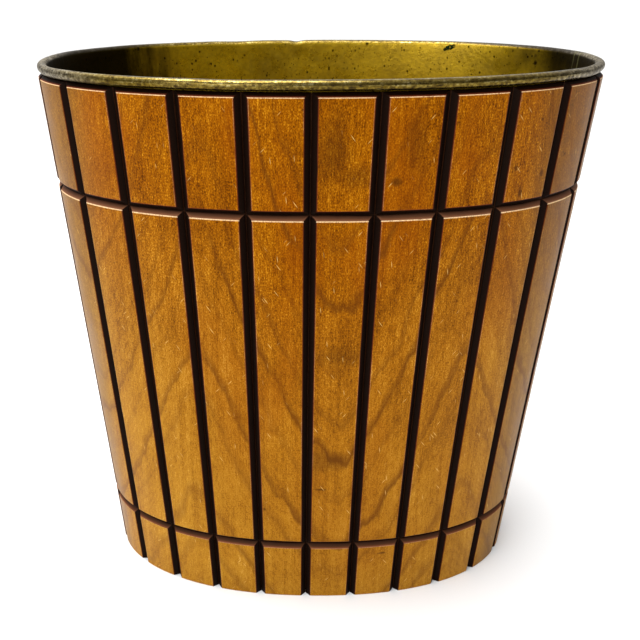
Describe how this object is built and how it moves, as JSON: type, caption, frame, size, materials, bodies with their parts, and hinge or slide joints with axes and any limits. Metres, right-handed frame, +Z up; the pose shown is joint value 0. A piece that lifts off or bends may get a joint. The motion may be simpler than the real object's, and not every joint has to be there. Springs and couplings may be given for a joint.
{
  "type": "wastebasket",
  "caption": "Oval tapered wastebasket: a gold-lacquered metal liner with a curled rim, clad in upright amber wood staves with dark V grooves.",
  "frame": {"origin": "on the floor, at the middle of the oval, under the middle of the object", "axes": "+X along the long axis of the oval, to the right seen from the front; -Y out of the front; +Z up"},
  "size_m": [0.3376, 0.1956, 0.3391],
  "materials": {
    "gold_lacquered_steel": "gold lacquer over sheet steel, worn to bare metal along the rim, speckled inside",
    "pan_steel": "gold lacquer over sheet steel, dull and speckled",
    "black_backing": "thin cloth stained near black",
    "amber_wood": "satin amber lacquer, with the groove walls stained near black"
  },
  "bodies": {
    "root": {"liner_shell": "gold_lacquered_steel", "base_pan": "pan_steel", "backing_sleeve": "black_backing", "stave_01": "amber_wood", "stave_02": "amber_wood", "stave_03": "amber_wood", "stave_04": "amber_wood", "stave_05": "amber_wood", "stave_06": "amber_wood", "stave_07": "amber_wood", "stave_08": "amber_wood", "stave_09": "amber_wood", "stave_10": "amber_wood", "stave_11": "amber_wood", "stave_12": "amber_wood", "stave_13": "amber_wood", "stave_14": "amber_wood", "stave_15": "amber_wood", "stave_16": "amber_wood", "stave_17": "amber_wood", "stave_18": "amber_wood", "stave_19": "amber_wood", "stave_20": "amber_wood", "stave_21": "amber_wood", "stave_22": "amber_wood", "stave_23": "amber_wood", "stave_24": "amber_wood"}
  },
  "joints": []
}
